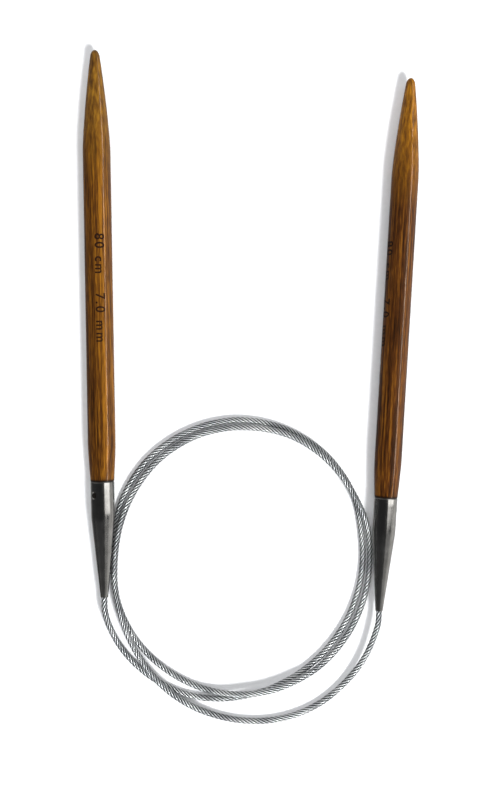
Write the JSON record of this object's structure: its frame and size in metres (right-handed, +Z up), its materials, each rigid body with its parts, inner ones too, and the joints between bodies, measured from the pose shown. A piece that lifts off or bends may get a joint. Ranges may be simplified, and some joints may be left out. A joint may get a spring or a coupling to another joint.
{
  "type": "circular knitting needle",
  "caption": "Circular knitting needle: bamboo needles glued in tapered steel ferrules and joined by a coiled wire-rope cable; each needle swings, lifts and turns on its cable end.",
  "frame": {"origin": "on the surface the needle lies on, under the middle of the box round the two needles, cable left out", "axes": "+Y from the ferrules towards the needle points, +X towards the right needle, +Z up"},
  "size_m": [0.0869, 0.1728, 0.007],
  "materials": {
    "bamboo": "lacquered",
    "ferrule_steel": "polished",
    "wire_rope": "drawn wire",
    "brass_stop": "plain",
    "glue": "cured resin"
  },
  "bodies": {
    "cable": {"cable_loop": "wire_rope"},
    "left_run": {"left_cable_run": "wire_rope"},
    "left_end": {"left_cable_end": "wire_rope", "left_cable_stop": "brass_stop"},
    "left_needle": {"left_ferrule": "ferrule_steel", "left_glue_line": "glue", "left_shaft": "bamboo"},
    "right_run": {"right_cable_run": "wire_rope"},
    "right_end": {"right_cable_end": "wire_rope", "right_cable_stop": "brass_stop"},
    "right_needle": {"right_ferrule": "ferrule_steel", "right_glue_line": "glue", "right_shaft": "bamboo"}
  },
  "joints": [
    {"name": "left_swing", "type": "hinge", "parent": "cable", "child": "left_run", "pos_m": [-0.0244, -0.0894, 0.0008], "axis": [0, 0, 1], "range_deg": [0, 45], "stiffness_Nm_per_rad": 0.02, "deforming": ["left_cable_run"]},
    {"name": "left_lift", "type": "hinge", "parent": "left_run", "child": "left_end", "pos_m": [-0.0363, -0.0758, 0.0026], "axis": [0.9998, 0.0175, 0], "range_deg": [0, 60], "stiffness_Nm_per_rad": 0.02, "deforming": ["left_cable_end"]},
    {"name": "left_turn", "type": "hinge", "parent": "left_end", "child": "left_needle", "pos_m": [-0.038, -0.0671, 0.0035], "axis": [-0.0175, 0.9998, 0], "continuous": true},
    {"name": "right_swing", "type": "hinge", "parent": "cable", "child": "right_run", "pos_m": [0.0198, -0.0948, 0.0009], "axis": [0, 0, -1], "range_deg": [0, 45], "stiffness_Nm_per_rad": 0.02, "deforming": ["right_cable_run"]},
    {"name": "right_lift", "type": "hinge", "parent": "right_run", "child": "right_end", "pos_m": [0.031, -0.0805, 0.0028], "axis": [0.9981, -0.061, 0], "range_deg": [0, 60], "stiffness_Nm_per_rad": 0.02, "deforming": ["right_cable_end"]},
    {"name": "right_turn", "type": "hinge", "parent": "right_end", "child": "right_needle", "pos_m": [0.0329, -0.0718, 0.0035], "axis": [0.061, 0.9981, 0], "continuous": true}
  ]
}
